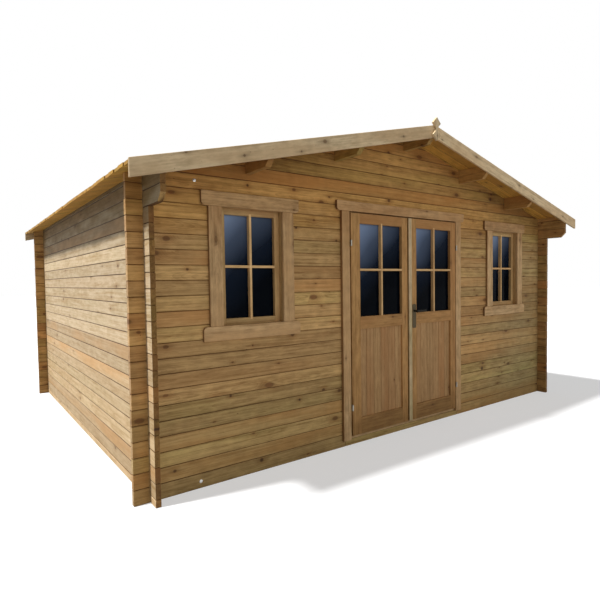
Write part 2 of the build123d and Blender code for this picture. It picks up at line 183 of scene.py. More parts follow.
def pine(
    name, pale, deep, red,
    knot_share=0.55, knot_size=0.011, ring=0.0042, end_tone=(0.7, 0.7, 0.7),
    spread=0.34, greening=1.0, figure=1.0, mottle=1.0, planing=0.34,
    edge_shade=1.0, joint_shade_tone=(0.34, 0.25, 0.15), joint_shade_from=0.8, knot_depth=0.85,
    weather_and_light=(), outside=None,
):
    """Sawn pine cut from a round tree: rings about a heart, streaks along the grain, and knots.

    Each entry of the tints by place is an axis, where a tint starts along it, where it is full, and the
    tint; some tints are painted shade.
    """
    material = bpy.data.materials.new(name)
    material.use_nodes = True
    nodes, links = material.node_tree.nodes, material.node_tree.links
    wood = nodes["Principled BSDF"]

    def put(socket, value):
        if isinstance(value, bpy.types.NodeSocket):
            links.new(value, socket)
        else:
            socket.default_value = value

    def calc(operation, *values, clamp=False):
        node = nodes.new("ShaderNodeMath")
        node.operation = operation
        node.use_clamp = clamp
        for socket, value in zip(node.inputs, values):
            put(socket, value)
        return node.outputs[0]

    def join(x, y, z):
        node = nodes.new("ShaderNodeCombineXYZ")
        for socket, value in zip(node.inputs, (x, y, z)):
            put(socket, value)
        return node.outputs[0]

    def split(vector):
        node = nodes.new("ShaderNodeSeparateXYZ")
        put(node.inputs[0], vector)
        return node.outputs[:]

    def noise(vector, detail=2.0, rough=0.5):
        node = nodes.new("ShaderNodeTexNoise")
        node.inputs["Scale"].default_value = 1.0
        node.inputs["Detail"].default_value = detail
        node.inputs["Roughness"].default_value = rough
        put(node.inputs["Vector"], vector)
        return node.outputs["Fac"]

    def stretched(vector, along, across):
        node = nodes.new("ShaderNodeVectorMath")
        node.operation = "MULTIPLY"
        put(node.inputs[0], vector)
        node.inputs[1].default_value = (along, across, across)
        return node.outputs[0]

    def ease(value, low, high, to_low, to_high):
        node = nodes.new("ShaderNodeMapRange")
        node.interpolation_type = "SMOOTHSTEP"
        for socket, v in zip(node.inputs, (value, low, high, to_low, to_high)):
            put(socket, v)
        return node.outputs[0]

    def mixed(amount, a, b, blend="MIX"):
        node = nodes.new("ShaderNodeMix")
        node.data_type = "RGBA"
        node.blend_type = blend
        put(node.inputs[0], amount)
        put(node.inputs[6], a if isinstance(a, bpy.types.NodeSocket) else (*a, 1))
        put(node.inputs[7], b if isinstance(b, bpy.types.NodeSocket) else (*b, 1))
        return node.outputs[2]

    def attribute(kind):
        node = nodes.new("ShaderNodeAttribute")
        node.attribute_name = kind
        return node

    grain = attribute("grain").outputs["Vector"]
    x, y, z = split(grain)
    tone, warmth, seed = split(attribute("board").outputs["Vector"])

    # The heart of the tree wanders a little along its length.
    drift = noise(stretched(grain, 0.8, 5.0), 1.0)
    drift_2 = noise(join(calc("MULTIPLY", x, 1.1), calc("ADD", seed, 7.0), calc("MULTIPLY", z, 5.0)), 1.0)
    off_y = calc("MULTIPLY_ADD", calc("SUBTRACT", drift, 0.5), 0.07, y)
    off_z = calc("MULTIPLY_ADD", calc("SUBTRACT", drift_2, 0.5), 0.07, z)

    def bell(value, rate):
        """1 where the value is 0, falling off as it grows."""
        return calc("POWER", 2.718, calc("MULTIPLY", value, -rate))

    ragged = noise(stretched(grain, 90.0, 110.0), 1.0)

    def knots(cell_long, cell_wide, share, small, large, shift):
        """Knots scattered over the boards: how far from the nearest, in radii, and how it looks."""
        cells = nodes.new("ShaderNodeTexVoronoi")
        cells.voronoi_dimensions = "2D"
        cells.inputs["Scale"].default_value = 1.0
        cells.inputs["Randomness"].default_value = 0.95
        place = join(calc("DIVIDE", x, cell_long), calc("ADD", calc("DIVIDE", y, cell_wide), shift), 0.0)
        put(cells.inputs["Vector"], place)
        gap = nodes.new("ShaderNodeVectorMath")
        gap.operation = "SUBTRACT"
        put(gap.inputs[0], place)
        put(gap.inputs[1], cells.outputs["Position"])
        gap_x, gap_y, _ = split(gap.outputs[0])
        chance, bulk, dark = split(cells.outputs["Color"])
        there = calc("LESS_THAN", chance, share)
        radius = calc("MULTIPLY_ADD", calc("POWER", bulk, 1.8), large - small, small)
        slender = calc("MULTIPLY_ADD", dark, 0.55, 0.45)
        gap_x = calc("MULTIPLY", calc("MULTIPLY", gap_x, cell_long), slender)
        gap_y = calc("MULTIPLY", gap_y, cell_wide)
        away = calc("SQRT", calc("ADD", calc("MULTIPLY", gap_x, gap_x), calc("MULTIPLY", gap_y, gap_y)))
        away = calc("MULTIPLY_ADD", calc("SUBTRACT", ragged, 0.5), small, away)
        radii = calc("DIVIDE", away, radius)
        tail_y = calc("DIVIDE", gap_y, radius)
        tail_x = calc("DIVIDE", gap_x, 0.045)
        tail = calc("ADD", calc("MULTIPLY", tail_y, tail_y), calc("MULTIPLY", tail_x, tail_x))
        tail = calc("MULTIPLY", bell(tail, 1.0), there)
        return radii, there, radius, dark, tail

    big, big_there, big_radius, big_dark, big_tail = knots(0.36, 0.085, knot_share, 0.005, knot_size, 0.0)
    pin, pin_there, _, _, _ = knots(0.17, 0.045, knot_share * 0.25, 0.0013, 0.0034, 5.3)
    knot = calc("MULTIPLY", ease(big, 0.7, 1.15, 1.0, 0.0), big_there)
    core = calc("MULTIPLY", ease(big, 0.2, 0.8, 1.0, 0.0), big_there)
    rim = calc("MULTIPLY", ease(calc("ABSOLUTE", calc("SUBTRACT", big, 1.0)), 0.0, 0.4, 1.0, 0.0), big_there)
    round_it = calc("MULTIPLY", bell(calc("MULTIPLY", big, big), 0.13), big_there)
    pin_knot = calc("MULTIPLY", ease(pin, 0.6, 1.5, 1.0, 0.0), pin_there)

    # Rings about the heart, which swerve round each knot, and streaks and patches along the grain.
    from_heart = calc("SQRT", calc("ADD", calc("MULTIPLY", off_y, off_y), calc("MULTIPLY", off_z, off_z)))
    from_heart = calc("ADD", from_heart, calc("MULTIPLY", round_it, calc("MULTIPLY", big_radius, 1.3)))
    bands = noise(join(calc("MULTIPLY", from_heart, 75.0), calc("MULTIPLY", x, 0.25), seed), 2.0)
    rings = calc("FRACT", calc("MULTIPLY_ADD", bands, 1.6, calc("DIVIDE", from_heart, ring)))
    late = calc("POWER", rings, 2.5)
    streak = noise(stretched(grain, 1.3, 58.0), 4.0, 0.62)
    fibre = noise(stretched(grain, 4.0, 210.0), 3.0, 0.6)
    cloud = noise(stretched(grain, 9.0, 30.0), 5.0, 0.66)
    patch = noise(stretched(grain, 3.2, 9.0), 2.0)
    drawn_out = noise(stretched(grain, 1.3, 7.0), 2.0)
    planed = noise(stretched(grain, 14.0, 5.0), 1.0)

    # From pale early wood to deep late wood, some boards ruddier and some greener than others.
    amount = calc("MULTIPLY_ADD", late, 0.30, -0.30)
    amount = calc("MULTIPLY_ADD", bands, 1.05, amount)
    for pattern, weight in (
        (streak, 2.0 * figure), (fibre, 0.9), (cloud, 1.7 * figure * mottle), (patch, 0.8 * figure * mottle),
    ):
        amount = calc("MULTIPLY_ADD", calc("SUBTRACT", pattern, 0.5), weight, amount, clamp=pattern is patch)
    colour = mixed(amount, pale, deep)
    ruddy = calc("MULTIPLY", ease(warmth, 0.4, 1.0, 0.0, 0.75), ease(drawn_out, 0.35, 0.65, 0.2, 1.0))
    colour = mixed(ruddy, colour, red)
    olive = ease(warmth, 0.0, 0.6, greening, 0.15 * greening)
    olive = calc("MULTIPLY", olive, ease(drawn_out, 0.35, 0.65, 1.0, 0.25))
    colour = mixed(olive, colour, mixed(1.0, colour, (0.84, 0.95, 0.80), "MULTIPLY"))

    # Shade: from log to log, with the clouds, and with the marks of the planer.
    shade = calc("MULTIPLY_ADD", tone, spread, 1.0 - spread * 0.55)
    for pattern, weight in ((cloud, -0.3 * figure * mottle), (planed, planing)):
        shade = calc("MULTIPLY", shade, calc("MULTIPLY_ADD", calc("SUBTRACT", pattern, 0.5), weight, 1.0))

    # Knots, in ruddy wood, with a dark tail along the grain and a darker rim.
    colour = mixed(calc("MULTIPLY", round_it, 0.6), colour, red)
    shade = calc("MULTIPLY", shade, calc("MULTIPLY_ADD", round_it, -0.18, 1.0))
    shade = calc("MULTIPLY", shade, calc("MULTIPLY_ADD", big_tail, -0.32, 1.0))
    brown = mixed(big_dark, (0.35, 0.15, 0.05), (0.15, 0.068, 0.025))
    colour = mixed(calc("MULTIPLY", knot, knot_depth), colour, brown)
    core = calc("MULTIPLY", core, calc("MULTIPLY_ADD", big_dark, 0.4 * knot_depth, -0.05))
    colour = mixed(core, colour, (0.05, 0.025, 0.012))
    colour = mixed(calc("MULTIPLY", pin_knot, 0.8 * knot_depth), colour, (0.14, 0.066, 0.026))
    shade = calc("MULTIPLY", shade, calc("MULTIPLY_ADD", rim, -0.3, 1.0))

    # Painted shade towards the joints and in them, and the sawn ends in their own tone.
    brim = calc("ABSOLUTE", attribute("across").outputs["Fac"])
    shade = calc("MULTIPLY", shade, ease(brim, 0.80, 1.0, 1.0, edge_shade))
    joint_shade = ease(attribute("joint").outputs["Fac"], 0.0, joint_shade_from, 0.0, 1.0)
    colour = mixed(joint_shade, colour, mixed(1.0, colour, joint_shade_tone, "MULTIPLY"))
    end = attribute("sawn_end").outputs["Fac"]
    colour = mixed(end, colour, mixed(1.0, colour, end_tone, "MULTIPLY"))

    # Upper faces weathered greyer and painted darker against the strong light from above, then tints by
    # place, some of them painted shade.
    if outside:
        weathered_and_lit = mixed(amount, outside, tuple(0.6 * c for c in outside))
        colour = mixed(calc("MULTIPLY", attribute("outside").outputs["Fac"], 0.75), colour, weathered_and_lit)
    place = split(nodes.new("ShaderNodeTexCoord").outputs["Object"]) if weather_and_light else None
    for axis, start, full, tint in weather_and_light:
        along = {"x": place[0], "both ends": calc("ABSOLUTE", place[0]), "z": place[2]}[axis]
        if axis != "both ends":
            along = calc("MULTIPLY_ADD", calc("SUBTRACT", patch, 0.5), 0.4, along)
        way = 1 if full > start else -1
        reach = ease(calc("MULTIPLY", along, way), start * way, full * way, 0.0, 1.0)
        colour = mixed(reach, colour, mixed(1.0, colour, tint, "MULTIPLY"))
    colour = mixed(1.0, colour, join(shade, shade, shade), "MULTIPLY")
    links.new(colour, wood.inputs["Base Color"])

    # Dull, with the fibres and knots a little raised and the late wood lower.
    put(wood.inputs["Roughness"], calc("MULTIPLY_ADD", fibre, 0.25, 0.58))
    wood.inputs["Specular IOR Level"].default_value = 0.28
    height = calc("MULTIPLY_ADD", fibre, 0.5, calc("MULTIPLY", late, -0.35))
    height = calc("MULTIPLY_ADD", knot, 0.5, height)
    bump = nodes.new("ShaderNodeBump")
    bump.inputs["Strength"].default_value = 0.5
    bump.inputs["Distance"].default_value = 0.0008
    put(bump.inputs["Height"], height)
    links.new(bump.outputs["Normal"], wood.inputs["Normal"])
    return material


front_pine = pine(
    "front_log_pine", (0.67, 0.41, 0.17), (0.30, 0.157, 0.052), (0.54, 0.258, 0.083),
    knot_share=0.42, knot_size=0.018, end_tone=(0.95, 1.06, 1.45), spread=0.38, greening=0.7,
    mottle=0.72, planing=0.25, edge_shade=0.84,
    # Tints by place: darker and less red towards the foot, warmer painted shade under the eave, darker and
    # bluer towards the right end, and painted shade on the log ends beyond the side walls.
    weather_and_light=(
        ("z", 0.85, 0.2, (0.90, 0.97, 0.95)),
        ("z", 1.55, 1.9, (0.95, 0.85, 0.64)),
        ("x", 0.8, 2.0, (0.76, 0.85, 0.91)),
        ("both ends", 2.325, 2.345, (0.86, 0.80, 0.72)),
    ),
)
shade_pine = pine(
    "shaded_log_pine", (0.56, 0.33, 0.125), (0.25, 0.125, 0.038), (0.46, 0.21, 0.065),
    knot_size=0.017, end_tone=(0.52, 0.45, 0.36), edge_shade=0.85,
)
lit_look_pine = pine(
    "lit_look_log_pine", (0.555, 0.43, 0.28), (0.35, 0.225, 0.10), (0.50, 0.295, 0.13),
    knot_share=0.2, spread=0.30, greening=0.2, planing=0.10, figure=0.8, knot_depth=0.7,
    edge_shade=0.72, joint_shade_tone=(0.22, 0.125, 0.045), joint_shade_from=0.4,
    # Tints by place: warmer towards the foot, painted shade under the eave, and warmer painted shade on the
    # top logs in it.
    weather_and_light=(
        ("z", 1.1, 0.4, (0.98, 0.93, 0.84)),
        ("z", 1.57, 2.02, (0.36, 0.36, 0.27)),
        ("z", 1.8, 1.95, (1.06, 0.93, 0.78)),
    ),
)
hair = 0.0006              # a log in or out of line with its neighbours
end_bevel = 0.0022         # along the level edges of a log's end
draw = random.Random(11)


def stack(name, node, long, thick, first, material, ends_trim=0.0025, weather_and_light=None, weathered_and_lit=None):
    """One wall: sawn apart at every joint, ends trimmed by hand, and each log set a hair in or out."""
    bm = rough_timber(node)
    low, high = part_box(node)
    thinnest = 0.004
    level = first
    while level < high.z - thinnest:
        if level > low.z + thinnest:
            saw(bm, Z, level)
        level += course
    for log in single_pieces(bm):
        nudge = thick * draw.uniform(-hair, hair)
        trims = {-1: draw.uniform(0, ends_trim), 1: draw.uniform(0, ends_trim)}
        for v in log:
            at = v.co.dot(long)
            for end, limit in ((-1, low.dot(long)), (1, high.dot(long))):
                if abs(at - limit) < 0.001:
                    v.co -= long * end * trims[end]
            v.co += nudge
    bm.normal_update()
    level_ends = [
        e for e in bm.edges
        if len(e.link_faces) == 2
        and max(abs(f.normal.dot(long)) for f in e.link_faces) > 0.99
        and max(abs(f.normal.z) for f in e.link_faces) > 0.99
    ]
    bmesh.ops.bevel(
        bm, geom=level_ends, offset=end_bevel, segments=1, profile=0.5, affect="EDGES", clamp_overlap=True,
    )
    ease_edges(bm, 0.001, least=1.0)
    lay_grain(bm, draw, (long, Z, thick), joints=True)
    finished(bm, name, node, "shed", material, facing=weather_and_light, facing_material=weathered_and_lit)


stack("front_logs_left", "front_wall_left", X, Y, 0.0, front_pine)
stack("front_logs_right", "front_wall_right", X, Y, 0.0, front_pine)
stack("front_gable_logs", "front_gable", X, Y, 0.0, front_pine)
stack("back_logs", "back_wall", X, Y, 0.0, shade_pine)
# On both side walls the outer faces take a paler pine: painted sunlight, with painted shade under the eave.
stack("left_side_logs", "left_side_wall", Y, X, course / 2, shade_pine, 0.0025, -X, lit_look_pine)
stack("right_side_logs", "right_side_wall", Y, X, course / 2, shade_pine, 0.0025, X, lit_look_pine)
stack("left_plate_logs", "left_wall_plates", Y, X, course / 2, shade_pine, 0.0, -X, lit_look_pine)
stack("right_plate_logs", "right_wall_plates", Y, X, course / 2, shade_pine, 0.0, X, lit_look_pine)
stack("sill_log", "front_sill_log", X, Y, 0.0, front_pine, 0.0)

# Purlins. Five 44 by 120 mm softwood beams from gable to gable, the middle one under the ridge.
# Their ends are sawn off at an angle in front of and behind the walls, which carry them in slots.
purlin_pine = pine(
    "purlin_pine", (0.54, 0.31, 0.10), (0.27, 0.135, 0.036), (0.44, 0.195, 0.05), end_tone=(0.8, 0.8, 0.8),
)
draw = random.Random(23)
for name, node in (("ridge_beam", "ridge_purlin"), ("side_beams", "side_purlins")):
    bm = rough_timber(node)
    ease_edges(bm, 0.002, 2)
    lay_grain(bm, draw, (Y, Z, X))
    finished(bm, name, node, "shed", purlin_pine)

# Roof deck. Tongued and grooved boards, 19 mm thick, nailed side by side down the slope on the purlins.
# Below, each joint shows as a V. At the eaves the board ends aren't quite in line.
# The upper faces are weathered greyer and painted darker against the strong light from above.
deck_pine = pine(
    "deck_pine", (0.70, 0.39, 0.075), (0.35, 0.175, 0.026), (0.52, 0.265, 0.06),
    spread=0.25, greening=0.6, outside=(0.40, 0.32, 0.22),
)
deck_boards = 44
deck_v = 0.0035            # depth of the V at each joint
top_edge = 0.001           # the sharpness taken off the boards' upper edges
joint_play = 0.0002        # half the gap between two boards
eave_play = 0.0038         # how much shorter a board can be, as a share of its length

row_tree = bpy.data.node_groups.new("row_of_boards", "GeometryNodeTree")
row_sockets = {}
for label, kind, value in (
    ("Board", "NodeSocketGeometry", None),
    ("Boards", "NodeSocketInt", 10),
    ("Step", "NodeSocketVector", (0.0, 0.1, 0.0)),
    ("Fixed End", "NodeSocketVector", (0.0, 0.0, 0.0)),
    ("Play", "NodeSocketFloat", 0.0),
    ("Seed", "NodeSocketInt", 1),
    ("Timber", "NodeSocketMaterial", None),
):
    socket = row_tree.interface.new_socket(name=label, in_out="INPUT", socket_type=kind)
    if value is not None:
        socket.default_value = value
    row_sockets[label] = socket.identifier
row_tree.interface.new_socket(name="Row", in_out="OUTPUT", socket_type="NodeSocketGeometry")


def grow_row_tree():
    """One board repeated in a row, with its length, tone and place in the tree drawn at random."""
    nodes, link = row_tree.nodes, row_tree.links.new
    given = nodes.new("NodeGroupInput").outputs
    line = nodes.new("GeometryNodeMeshLine")
    link(given["Boards"], line.inputs["Count"])
    link(given["Step"], line.inputs["Offset"])
    place = nodes.new("GeometryNodeInstanceOnPoints")
    link(line.outputs[0], place.inputs["Points"])
    link(given["Board"], place.inputs["Instance"])

    def drawn(kind, low, high, shift):
        node = nodes.new("FunctionNodeRandomValue")
        node.data_type = kind
        ends = [s for s in node.inputs if s.enabled and s.name in ("Min", "Max")]
        for socket, value in zip(ends, (low, high)):
            socket.default_value = value
        seed = nodes.new("ShaderNodeMath")
        seed.operation = "ADD"
        link(given["Seed"], seed.inputs[0])
        seed.inputs[1].default_value = shift
        link(seed.outputs[0], node.inputs["Seed"])
        return [s for s in node.outputs if s.enabled][0]

    loss = nodes.new("ShaderNodeMath")
    loss.operation = "MULTIPLY"
    link(drawn("FLOAT", 0.0, 1.0, 0), loss.inputs[0])
    link(given["Play"], loss.inputs[1])
    keep = nodes.new("ShaderNodeMath")
    keep.operation = "SUBTRACT"
    keep.inputs[0].default_value = 1.0
    link(loss.outputs[0], keep.inputs[1])
    size = nodes.new("ShaderNodeCombineXYZ")
    link(keep.outputs[0], size.inputs[0])
    size.inputs[1].default_value = 1.0
    link(keep.outputs[0], size.inputs[2])
    trim = nodes.new("GeometryNodeScaleInstances")
    link(place.outputs[0], trim.inputs["Instances"])
    link(size.outputs[0], trim.inputs["Scale"])
    link(given["Fixed End"], trim.inputs["Center"])
    trim.inputs["Local Space"].default_value = True

    def store(geometry, label, domain, value):
        node = nodes.new("GeometryNodeStoreNamedAttribute")
        node.data_type = "FLOAT_VECTOR"
        node.domain = domain
        node.inputs["Name"].default_value = label
        link(geometry, node.inputs["Geometry"])
        link(value, node.inputs["Value"])
        return node.outputs[0]

    row = store(trim.outputs[0], "board", "INSTANCE", drawn("FLOAT_VECTOR", (0, 0, 0), (1, 1, 1), 1))
    row = store(row, "moved", "INSTANCE", drawn("FLOAT_VECTOR", (0, -0.04, -0.06), (60, 0.04, 0.06), 2))
    real = nodes.new("GeometryNodeRealizeInstances")
    link(row, real.inputs[0])
    read = []
    for label in ("grain", "moved"):
        node = nodes.new("GeometryNodeInputNamedAttribute")
        node.data_type = "FLOAT_VECTOR"
        node.inputs["Name"].default_value = label
        read.append(node.outputs[0])
    total = nodes.new("ShaderNodeVectorMath")
    total.operation = "ADD"
    link(read[0], total.inputs[0])
    link(read[1], total.inputs[1])
    row = store(real.outputs[0], "grain", "POINT", total.outputs[0])
    paint = nodes.new("GeometryNodeSetMaterial")
    link(row, paint.inputs["Geometry"])
    link(given["Timber"], paint.inputs["Material"])
    link(paint.outputs[0], nodes.new("NodeGroupOutput").inputs[0])


grow_row_tree()


def close_board(bm, ends):
    """The faces of a board between its two end outlines, and both ends."""
    bm.faces.new(ends[0])
    bm.faces.new(ends[1])
    for i in range(len(ends[0])):
        j = (i + 1) % len(ends[0])
        bm.faces.new((ends[0][i], ends[0][j], ends[1][j], ends[1][i]))


def moulded_board(corners, long, start, length, across, thick):
    """One board: its cross-section, given as (across, through) pairs, drawn out along its length."""
    bm = bmesh.new()
    ends = []
    for far_end in (0, length):
        base = start + long * far_end
        ends.append([bm.verts.new(base + across * a + thick * t) for a, t in corners])
    close_board(bm, ends)
    bmesh.ops.recalc_face_normals(bm, faces=bm.faces)
    grain = bm.verts.layers.float_vector.new("grain")
    sawn = bm.faces.layers.float.new("sawn_end")
    joint_shade = bm.loops.layers.float.new("joint")
    brim = bm.verts.layers.float.new("across")
    far = bm.faces.layers.float.new("outside")
    reach = max(abs(a) for a, t in corners)
    for v in bm.verts:
        off = v.co - start
        v[grain] = Vector((off.dot(long), off.dot(across), off.dot(thick) + 0.03))
        v[brim] = off.dot(across) / reach
    for face in bm.faces:
        face[sawn] = 1.0 if abs(face.normal.dot(long)) > 0.7 else 0.0
        # Upper faces: where a wood with an outside colour is weathered and painted darker against the strong
        # light on them.
        face[far] = 1.0 if face.normal.dot(thick) > 0.6 else 0.0
        for loop in face.loops:
            # The board's edge faces are marked for painted shade in the joints.
            in_joint = abs((loop.vert.co - start).dot(across)) > reach - 0.0002
            loop[joint_shade] = 1.0 if in_joint and not face[sawn] else 0.0
    return bm


def board_row(name, bm, count, step, fixed_end, play, seed, timber, node, body):
    """Runs the row tree on one board and keeps the result as a plain mesh."""
    mesh = bpy.data.meshes.new(name + "_board")
    bm.to_mesh(mesh)
    bm.free()
    maker = bpy.data.objects.new(name + "_maker", mesh)
    bpy.context.scene.collection.objects.link(maker)
    modifier = maker.modifiers.new("row", "NODES")
    modifier.node_group = row_tree
    for label, value in (
        ("Boards", count),
        ("Step", step),
        ("Fixed End", fixed_end),
        ("Play", play),
        ("Seed", seed),
        ("Timber", timber),
    ):
        modifier[row_sockets[label]] = value
    depsgraph = bpy.context.evaluated_depsgraph_get()
    depsgraph.update()
    made = bpy.data.meshes.new_from_object(maker.evaluated_get(depsgraph))
    made.name = name
    bpy.data.objects.remove(maker)
    piece = bpy.data.objects.new(name, made)
    bpy.context.scene.collection.objects.link(piece)
    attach(piece, body)
    if node:
        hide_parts(node)


for name, node, side in (("deck_left", "roof_deck_left", -1), ("deck_right", "roof_deck_right", 1)):
    low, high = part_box(node)
    run = max(abs(low.x), abs(high.x))
    deck = [v.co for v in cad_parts[node].data.vertices]
    ridge_low = min(c.z for c in deck if abs(c.x) < 1e-4)
    ridge_high = max(c.z for c in deck if abs(c.x) < 1e-4)
    pitch = math.atan2(ridge_low - low.z, run)
    down = Vector((side * math.cos(pitch), 0, -math.sin(pitch)))
    up = Vector((side * math.sin(pitch), 0, math.cos(pitch)))
    width = (high.y - low.y) / deck_boards
    thick = (ridge_high - ridge_low) * math.cos(pitch)
    w = width / 2 - joint_play
    outline = [(-w, deck_v), (-w + deck_v, 0), (w - deck_v, 0), (w, deck_v), (w, thick - top_edge)]
    outline += [(w - top_edge, thick), (-w + top_edge, thick), (-w, thick - top_edge)]
    start = Vector((0, low.y + width / 2, ridge_low))
    bm = moulded_board(outline, down, start, run / math.cos(pitch), Y, up)
    for v in bm.verts:
        at = v.co.x * side
        if at < run / 2:
            v.co -= down * (at / down.x / side)
        else:
            v.co += down * ((run - at) / down.x / side)
    step = Vector((0, width, 0))
    board_row(name, bm, deck_boards, step, start, eave_play, 5 + side, deck_pine, node, "shed")

# Barge boards and finials. 19 by 100 mm boards, weathered a little greyer, screwed over the deck's edge.
# At the ridge a board sawn to two lozenges covers the place where the pair meets, front and back.
barge_pine = pine(
    "barge_pine", (0.88, 0.69, 0.43), (0.52, 0.38, 0.215), (0.66, 0.45, 0.24),
    knot_share=0.55, knot_size=0.013, figure=1.3, planing=0.25, spread=0.2, greening=0.4, knot_depth=0.55,
)
draw = random.Random(31)
for name, node, side in (
    ("barge_pair_left", "barge_boards_left", -1),
    ("barge_pair_right", "barge_boards_right", 1),
):
    bm = rough_timber(node)
    ease_edges(bm, 0.002, 2)
    slope = Vector((side * math.cos(pitch), 0, -math.sin(pitch)))
    upright = Vector((side * math.sin(pitch), 0, math.cos(pitch)))
    lay_grain(bm, draw, (slope, upright, Y))
    finished(bm, name, node, "shed", barge_pine)
bm = rough_timber("finials")
ease_edges(bm, 0.002, 2)
lay_grain(bm, draw, (Z, X, Y))
finished(bm, "finial_boards", "finials", "shed", barge_pine)

# Door frame and threshold. Jambs and head of 44 mm planed pine with a stop behind the leaves, and a low
# threshold, screwed together and set in the doorway on the sill log.
casing_pine = pine(
    "casing_pine", (0.72, 0.478, 0.245), (0.42, 0.254, 0.114), (0.55, 0.315, 0.134),
    knot_share=0.22, knot_size=0.010, spread=0.14, greening=0.3, figure=1.3, planing=0.3, knot_depth=0.5,
    # Painted shade under the eave.
    weather_and_light=(("z", 1.55, 1.9, (0.80, 0.73, 0.66)),),
)
draw = random.Random(43)
jamb_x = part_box("door_threshold")[1].x
bm = rough_timber("door_frame")
saw(bm, X, -jamb_x)
saw(bm, X, jamb_x)
ease_edges(bm, 0.0015)
lay_grain(bm, draw)
finished(bm, "door_jambs_and_head", "door_frame", "shed", casing_pine)
bm = rough_timber("door_threshold")
ease_edges(bm, 0.003, 2)
lay_grain(bm, draw)
finished(bm, "threshold", "door_threshold", "shed", casing_pine)

# Casings. Planed boards, 28 mm thick round the doorway and 22 mm round the windows, nailed on the logs.
# Heads and sills reach past the side boards and are rounded where they do. Shade is painted in the corners
# behind them.
middles = {"door": [0.0], "window": []}
for side in ("left", "right"):
    low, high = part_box("window_glass_" + side)
    middles["window"].append((low.x + high.x) / 2)
# How deep the painted shade is, at the wall and farther out.
shade_behind, shade_before = 0.8, 0.52


def shaded_corners(bm, middles):
    """Painted shade in the corner between a casing and the wall: on its outer sides and its top."""
    joint_shade = bm.loops.layers.float["joint"]
    for face in bm.faces:
        at, normal = face.calc_center_median(), face.normal
        outward = normal.x * (at.x - min(middles, key=lambda m: abs(m - at.x)))
        if abs(normal.y) < 0.6 and (normal.z > 0.6 or (abs(normal.x) > 0.6 and outward > 0)):
            for loop in face.loops:
                on_wall = loop.vert.co.y > front_y - 0.004
                loop[joint_shade] = shade_behind if on_wall else shade_before


for name, node in (
    ("door_casings", "door_side_casings"),
    ("door_head_board", "door_head_casing"),
    ("window_casings", "window_side_casings"),
    ("window_head_boards", "window_head_casings"),
    ("window_sill_boards", "window_sill_casings"),
):
    bm = rough_timber(node)
    ease_edges(bm, 0.005, 3)
    lay_grain(bm, draw)
    shaded_corners(bm, middles[node.split("_")[0]])
    finished(bm, name, node, "shed", casing_pine)

# Windows. A 20 mm box lines each opening, and a fixed sash of four planed rails holds one pane in it.
# Two bars halved together stand before the pane, level with the sash, and the upright laps over the rails.
sash_pine = pine(
    "sash_pine", (0.575, 0.375, 0.165), (0.34, 0.197, 0.076), (0.45, 0.237, 0.095),
    knot_share=0.12, knot_size=0.008, spread=0.2, greening=0.3, planing=0.15,
)
bar_pine = pine(
    "bar_pine", (0.86, 0.56, 0.26), (0.60, 0.35, 0.14), (0.70, 0.40, 0.17),
    knot_share=0.05, knot_size=0.006, spread=0.1, greening=0.0,
)
bar_width = 0.018
bar_bevel = 0.002
bar_proud = (0.0025, -0.001)    # the upright before the rails, outside and inside
bar_level = 1.449          # middle of the level bar
bar_lap = 0.012            # the outer upright over the rails, below and above
grip = 0.0087              # edge of a pane held in its rebate
draw = random.Random(59)
bm = rough_timber("window_boxes")
for glass in ("window_sash_left", "window_sash_right"):
    low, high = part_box(glass)
    saw(bm, X, low.x)
    saw(bm, X, high.x)
ease_edges(bm, 0.001)
lay_grain(bm, draw)
finished(bm, "window_linings", "window_boxes", "shed", sash_pine)


def glazing_bars(name, sight, level, lap, rails, pane, body):
    """A cross of two bars on each side of one pane. Outside, the upright laps over the rails."""
    bm = bmesh.new()
    x0, x1, z0, z1 = sight
    half = bar_width / 2
    for long, side in ((Z, 0), (X, 0), (Z, 1), (X, 1)):
        across = X if long is Z else Z
        over = lap if side == 0 else (0, 0)
        a, b = (z0 - over[0], z1 + over[1]) if long is Z else (x0, x1)
        mid = (x0 + x1) / 2 if long is Z else level
        out = 1 if side else -1
        glued = pane[side]
        face = rails[side] + (bar_proud[side] * out if long is Z else 0)
        under = face - bar_bevel * out
        outline = [(-half, glued), (-half, under), (-half + bar_bevel, face)]
        outline += [(half - bar_bevel, face), (half, under), (half, glued)]
        ends = []
        for at in (a, b):
            ends.append([bm.verts.new(long * at + across * (mid + w) + Y * y) for w, y in outline])
        close_board(bm, ends)
    bmesh.ops.recalc_face_normals(bm, faces=bm.faces)
    lay_grain(bm, draw)
    mesh = bpy.data.meshes.new(name)
    bm.to_mesh(mesh)
    bm.free()
    mesh.materials.append(bar_pine)
    piece = bpy.data.objects.new(name, mesh)
    bpy.context.scene.collection.objects.link(piece)
    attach(piece, body)


